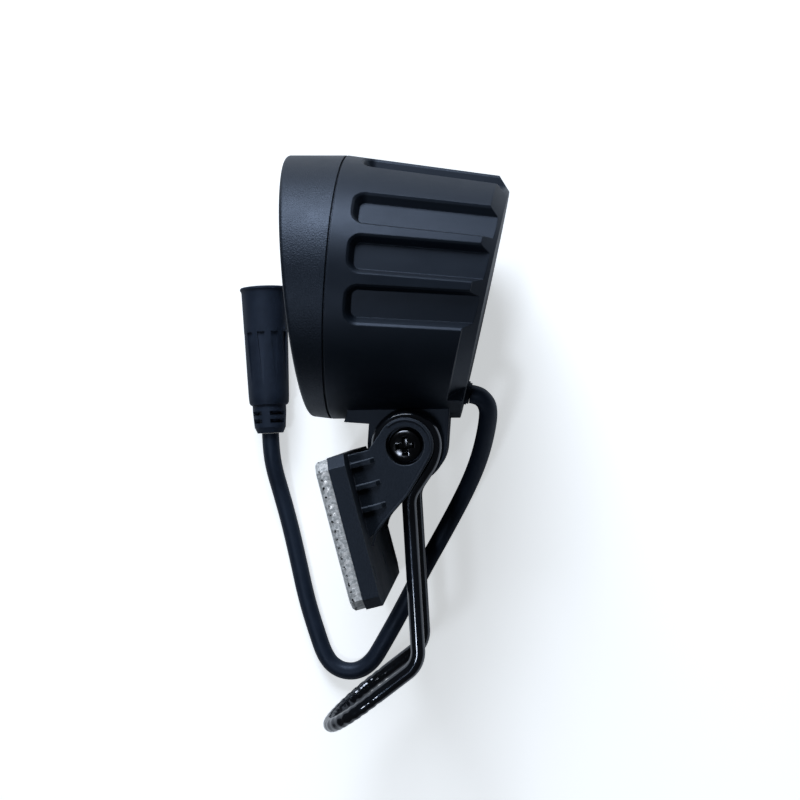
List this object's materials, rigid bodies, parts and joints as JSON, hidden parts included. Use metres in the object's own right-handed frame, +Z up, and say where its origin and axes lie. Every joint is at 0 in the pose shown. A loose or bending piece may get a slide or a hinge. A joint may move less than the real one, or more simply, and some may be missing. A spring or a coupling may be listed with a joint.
{
  "type": "bicycle headlight",
  "caption": "Round bicycle headlight with a tapered pocketed housing, a bent-wire fork bracket, a retroreflector on hinged arms and a lead that ends in a round plug.",
  "frame": {"origin": "centre of the lamp's footprint on the surface that it lies on, without the lead and plug", "axes": "+Z up from the surface; +X backwards along the lamp, +Y towards the lamp's top"},
  "size_m": [0.0711, 0.1352, 0.0619],
  "materials": {
    "housing_plastic": "fine matt grain",
    "bezel_plastic": "fine matt grain",
    "clear_lens": "clear moulded lens",
    "black_rubber": "dull rubber",
    "mirror_coat": "vacuum-metallised plastic",
    "board_white": "white solder mask",
    "emitter_yellow": "phosphor",
    "aluminium": "die-cast",
    "board_green": "green solder mask",
    "steel": "plain steel",
    "ferrite": "sintered ferrite",
    "can_aluminium": "sleeved can",
    "copper_leads": "insulated strand",
    "bush_plastic": "acetal bush",
    "coated_wire": "glossy black coat on steel wire",
    "holder_plastic": "matt textured plastic",
    "reflector_clear": "clear prismatic acrylic",
    "black_steel": "blackened steel",
    "cable_jacket": "dull cable jacket",
    "insert_plastic": "contact carrier",
    "seal_red": "silicone ring",
    "brass_pins": "gold-plated contacts"
  },
  "bodies": {
    "lamp": {"housing": "housing_plastic", "bezel": "bezel_plastic", "front_lens": "clear_lens", "lens_gasket": "black_rubber", "housing_seal": "black_rubber", "reflector_cup": "mirror_coat", "led_board": "board_white", "led_emitters": "emitter_yellow", "heat_sink": "aluminium", "driver_board": "board_green", "board_screws": "steel", "driver_inductor": "ferrite", "driver_capacitor": "can_aluminium", "inner_leads": "copper_leads", "cable_gland": "black_rubber", "pivot_bush": "bush_plastic", "power_cable": "cable_jacket", "plug_body": "black_rubber", "plug_strain_relief": "black_rubber", "plug_insert": "insert_plastic", "plug_seal": "seal_red", "plug_pins": "brass_pins"},
    "bracket": {"wire_bracket": "coated_wire"},
    "reflector": {"reflector_holder": "holder_plastic", "reflector_prisms": "reflector_clear", "reflector_face": "reflector_clear", "pivot_screw": "black_steel", "pivot_nut": "steel"}
  },
  "joints": [
    {"name": "bracket_hinge", "type": "hinge", "parent": "lamp", "child": "bracket", "pos_m": [0.00265, 0, 0.02904], "axis": [0.0758, -0.0157, 0.997], "range_deg": [-3, 35]},
    {"name": "reflector_hinge", "type": "hinge", "parent": "lamp", "child": "reflector", "pos_m": [0.00265, 0, 0.02904], "axis": [0.0758, -0.0157, 0.997], "range_deg": [-15, 2.5]}
  ]
}
